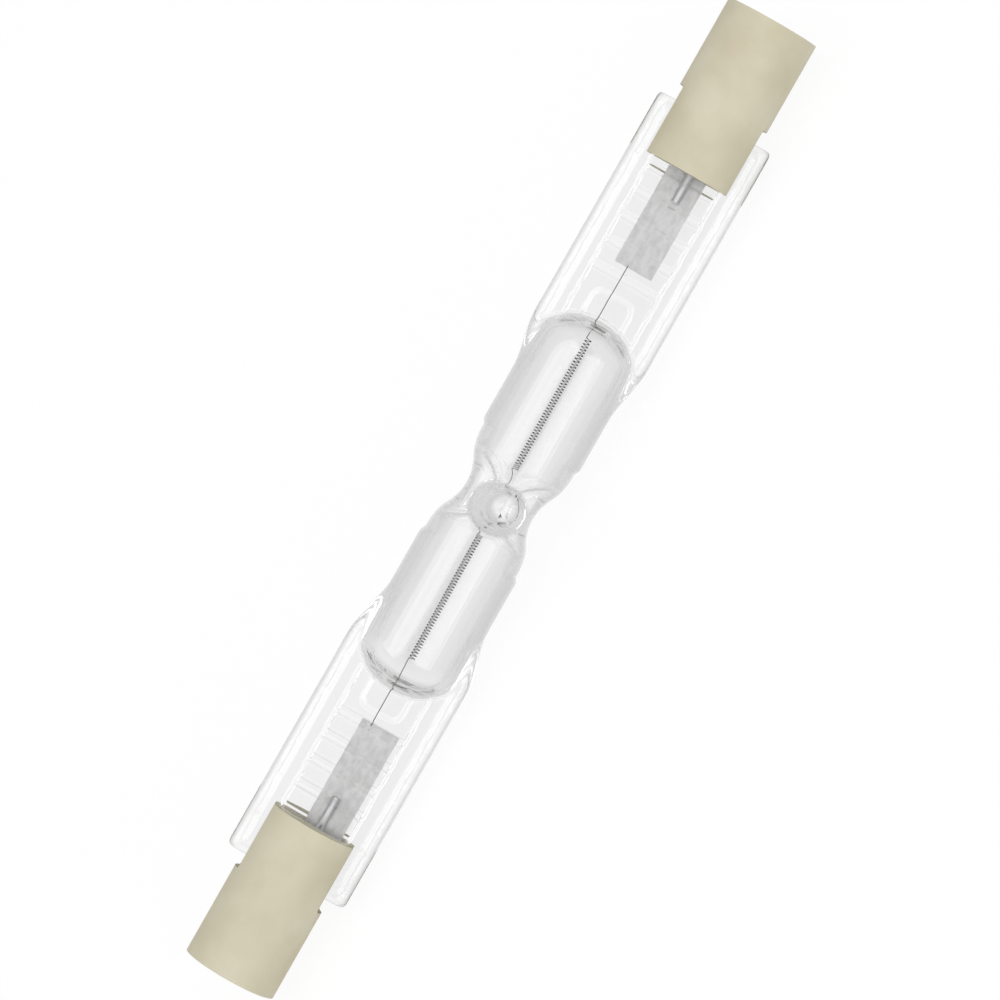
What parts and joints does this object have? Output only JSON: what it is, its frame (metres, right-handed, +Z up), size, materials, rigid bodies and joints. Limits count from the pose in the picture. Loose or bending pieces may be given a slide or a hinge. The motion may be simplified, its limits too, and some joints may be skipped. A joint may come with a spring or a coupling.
{
  "type": "linear halogen bulb",
  "caption": "Straight double-ended quartz lamp: clear hollow tube with a pressed waist, coiled filament, flat pinched ends and slotted ceramic end caps.",
  "frame": {"origin": "on the lamp's long axis, half way between its two contacts", "axes": "+X along the lamp towards its right end, +Z up as the loose lamp lies at rest on its tube and one pinch edge"},
  "size_m": [0.0782, 0.0098, 0.0091],
  "materials": {
    "quartz": "polished",
    "tungsten": "satin",
    "foil": "satin",
    "lead_wire": "satin",
    "steatite": "matte",
    "contact_metal": "satin",
    "cement": "matte"
  },
  "bodies": {
    "root": {"quartz_envelope": "quartz", "filament": "tungsten", "foil_right": "foil", "foil_left": "foil", "outer_lead_right": "lead_wire", "outer_lead_left": "lead_wire", "ceramic_cap_right": "steatite", "ceramic_cap_left": "steatite", "contact_right": "contact_metal", "contact_left": "contact_metal", "cement_right": "cement", "cement_left": "cement"}
  },
  "joints": []
}
